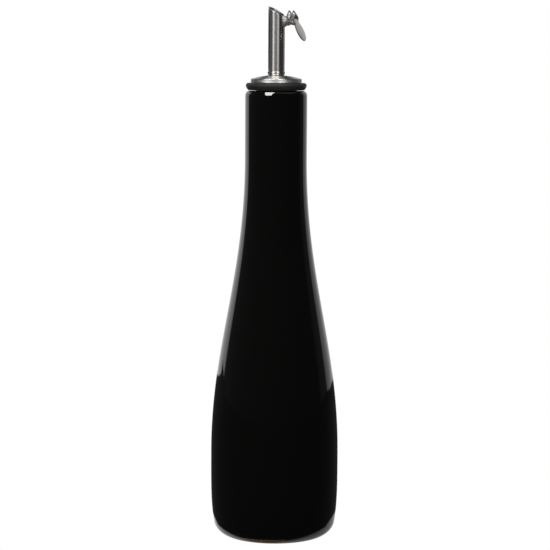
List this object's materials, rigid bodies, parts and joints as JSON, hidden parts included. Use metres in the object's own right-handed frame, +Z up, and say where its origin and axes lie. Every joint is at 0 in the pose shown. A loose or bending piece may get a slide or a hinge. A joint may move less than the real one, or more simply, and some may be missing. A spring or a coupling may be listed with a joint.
{
  "type": "oil cruet",
  "caption": "Tall slender glazed stoneware oil cruet with a rubber stopper, a domed steel cap and a slanted steel pouring tube with a hinged oval flap",
  "frame": {"origin": "middle of the flat foot, on the bottle's axis", "axes": "+Z up along the bottle's axis; +X towards the hinge of the flap, on the low side of the tube's slanted mouth; +Y across, along the hinge pin"},
  "size_m": [0.072, 0.072, 0.3004],
  "materials": {
    "glaze": "glossy black glaze, bare buff clay on the foot",
    "stopper_rubber": "satin black rubber",
    "cap_steel": "polished stainless steel",
    "spout_steel": "polished stainless steel, drawn lengthwise",
    "bracket_steel": "folded stainless steel, spot welded",
    "pin_steel": "polished rivet",
    "flap_steel": "satin stamped stainless steel"
  },
  "bodies": {
    "cruet": {"bottle": "glaze", "stopper": "stopper_rubber", "cap": "cap_steel", "spout_tube": "spout_steel", "hinge_bracket": "bracket_steel", "hinge_pin": "pin_steel"},
    "spout_flap": {"flap": "flap_steel"}
  },
  "joints": [
    {"name": "flap_hinge", "type": "hinge", "parent": "cruet", "child": "spout_flap", "pos_m": [0.0091, 0, 0.29458], "axis": [0, -1, 0], "range_deg": [0, 214]}
  ]
}
